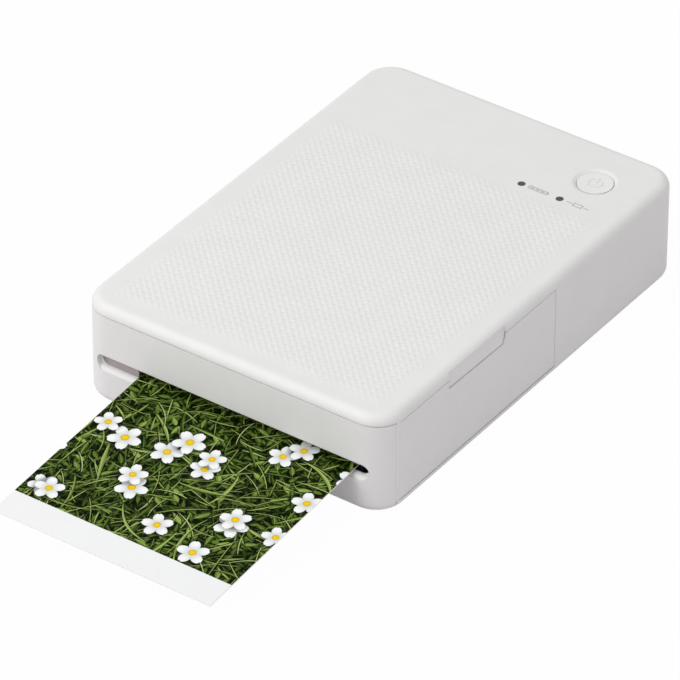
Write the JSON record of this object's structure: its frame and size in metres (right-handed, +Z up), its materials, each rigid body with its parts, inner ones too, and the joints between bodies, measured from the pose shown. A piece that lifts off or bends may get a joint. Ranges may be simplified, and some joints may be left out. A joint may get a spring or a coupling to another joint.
{
  "type": "compact photo printer",
  "caption": "Flat portable photo printer: rounded case, side ribbon door, underside paper cover, exit slot with a print, roller and ribbon drive inside.",
  "frame": {"origin": "centre of the body's plan, on the surface that the feet stand on", "axes": "+Z up, -Y out of the exit slot (front), +X towards the side cover"},
  "size_m": [0.1022, 0.2107, 0.0329],
  "materials": {
    "white_plastic": "fine satin",
    "grey_plastic": "satin",
    "dark_plastic": "satin",
    "rubber": "ground",
    "steel": "satin",
    "aluminium": "extruded",
    "ceramic": "glazed",
    "paper": "sheet",
    "print": "glossy print",
    "film": "thin coated film",
    "nylon": "moulded",
    "brass": "machined",
    "board": "solder mask",
    "black_part": "satin",
    "light_window": "smoked clear"
  },
  "bodies": {
    "case": {"top_case": "white_plastic", "front_panel": "white_plastic", "bottom_case": "grey_plastic", "feet": "rubber", "case_screws": "steel", "light_pipes": "light_window", "paper_stack": "paper", "inner_frame": "dark_plastic", "left_chassis": "steel", "right_chassis": "steel", "top_bridge": "steel", "roller_bushes": "nylon", "front_guide": "dark_plastic", "rear_guide": "dark_plastic", "drive_belt": "rubber", "feed_motor": "steel", "ribbon_motor": "steel", "head_pivot": "steel", "cassette_case": "dark_plastic", "ribbon_film": "film", "main_board": "board", "key_switch": "black_part", "light_sources": "light_window", "power_socket": "steel", "battery": "black_part"},
    "side_cover": {"side_cover": "white_plastic", "side_cover_pin": "steel"},
    "paper_cover": {"paper_cover": "grey_plastic", "paper_cover_pin": "steel", "lift_plate": "steel", "lift_springs": "steel"},
    "cover_latch": {"cover_latch": "dark_plastic"},
    "power_key": {"power_key": "white_plastic"},
    "print": {"printed_sheet": "print"},
    "exit_roller": {"exit_roller": "rubber", "exit_shaft": "steel", "exit_pulley": "nylon"},
    "platen_roller": {"platen_roller": "rubber", "platen_shaft": "steel", "platen_pulley": "nylon"},
    "capstan_roller": {"capstan_roller": "steel", "capstan_shaft": "steel", "capstan_pulley": "nylon", "capstan_gear": "nylon"},
    "exit_pinch": {"exit_pinch": "rubber"},
    "capstan_pinch": {"capstan_pinch": "rubber"},
    "pickup_roller": {"pickup_roller": "rubber", "pickup_shaft": "steel"},
    "feed_pinion": {"feed_pinion": "brass"},
    "print_head": {"head_strip": "ceramic", "heat_sink": "aluminium", "head_arm": "steel"},
    "cam_shaft": {"cam_shaft": "steel"},
    "supply_spool": {"supply_core": "nylon", "supply_roll": "film"},
    "takeup_spool": {"takeup_core": "nylon", "takeup_roll": "film", "takeup_gear": "nylon"},
    "ribbon_pinion": {"ribbon_pinion": "brass"}
  },
  "joints": [
    {"name": "side_cover_hinge", "type": "hinge", "parent": "case", "child": "side_cover", "pos_m": [0.0493, 0, 0.0055], "axis": [0, 1, 0], "range_deg": [0, 90]},
    {"name": "paper_cover_hinge", "type": "hinge", "parent": "case", "child": "paper_cover", "pos_m": [0.0043, -0.01975, 0.0019], "axis": [-1, 0, 0], "range_deg": [0, 95]},
    {"name": "cover_latch_slide", "type": "slide", "parent": "paper_cover", "child": "cover_latch", "axis": [0, -1, 0], "range_m": [0, 0.002], "stiffness_N_per_m": 250},
    {"name": "power_key_press", "type": "slide", "parent": "case", "child": "power_key", "axis": [0, 0, -1], "range_m": [0, 0.0006], "stiffness_N_per_m": 500},
    {"name": "capstan_spin", "type": "hinge", "parent": "case", "child": "capstan_roller", "pos_m": [0.0043, 0.013, 0.01482], "axis": [1, 0, 0], "range_deg": [-1002.68, 186.21]},
    {"name": "print_feed", "type": "slide", "parent": "case", "child": "print", "axis": [0, -0.9976, -0.0698], "range_m": [-0.07, 0.013]},
    {"name": "exit_spin", "type": "hinge", "parent": "case", "child": "exit_roller", "pos_m": [0.0043, -0.0645, 0.0094], "axis": [1, 0, 0], "range_deg": [-1002.68, 186.21]},
    {"name": "platen_spin", "type": "hinge", "parent": "case", "child": "platen_roller", "pos_m": [0.0043, -0.036, 0.01139], "axis": [1, 0, 0], "range_deg": [-1002.68, 186.21]},
    {"name": "exit_pinch_spin", "type": "hinge", "parent": "case", "child": "exit_pinch", "pos_m": [0.0043, -0.0645, 0.01627], "axis": [1, 0, 0], "range_deg": [-297.94, 1604.28]},
    {"name": "capstan_pinch_spin", "type": "hinge", "parent": "case", "child": "capstan_pinch", "pos_m": [0.0043, 0.013, 0.02169], "axis": [1, 0, 0], "range_deg": [-297.94, 1604.28]},
    {"name": "feed_pinion_spin", "type": "hinge", "parent": "case", "child": "feed_pinion", "pos_m": [-0.04, 0.02565, 0.01482], "axis": [1, 0, 0], "range_deg": [-465.53, 2506.69]},
    {"name": "pickup_spin", "type": "hinge", "parent": "case", "child": "pickup_roller", "pos_m": [0.0043, -0.013, 0.0113], "axis": [1, 0, 0], "continuous": true},
    {"name": "head_lift", "type": "hinge", "parent": "case", "child": "print_head", "pos_m": [0.0043, -0.0175, 0.02399], "axis": [-1, 0, 0], "range_deg": [0, 9]},
    {"name": "cam_spin", "type": "hinge", "parent": "case", "child": "cam_shaft", "pos_m": [0.0043, -0.026, 0.02069], "axis": [-1, 0, 0], "range_deg": [0, 90]},
    {"name": "takeup_spin", "type": "hinge", "parent": "case", "child": "takeup_spool", "pos_m": [0.0043, -0.003, 0.02429], "axis": [1, 0, 0], "continuous": true},
    {"name": "supply_spin", "type": "hinge", "parent": "case", "child": "supply_spool", "pos_m": [0.0043, -0.054, 0.02262], "axis": [1, 0, 0], "continuous": true},
    {"name": "ribbon_pinion_spin", "type": "hinge", "parent": "case", "child": "ribbon_pinion", "pos_m": [-0.04, -0.0115, 0.02119], "axis": [1, 0, 0], "continuous": true}
  ],
  "couplings": [
    {"joint": "print_feed", "follows": "capstan_spin", "m_per_rad": 0.004},
    {"joint": "exit_spin", "follows": "capstan_spin", "ratio": 1},
    {"joint": "platen_spin", "follows": "capstan_spin", "ratio": 1},
    {"joint": "exit_pinch_spin", "follows": "capstan_spin", "ratio": -1.6},
    {"joint": "capstan_pinch_spin", "follows": "capstan_spin", "ratio": -1.6},
    {"joint": "feed_pinion_spin", "follows": "capstan_spin", "ratio": -2.5},
    {"joint": "cam_spin", "follows": "head_lift", "ratio": 10},
    {"joint": "supply_spin", "follows": "takeup_spin", "ratio": 0.65455},
    {"joint": "ribbon_pinion_spin", "follows": "takeup_spin", "ratio": -1.5}
  ]
}
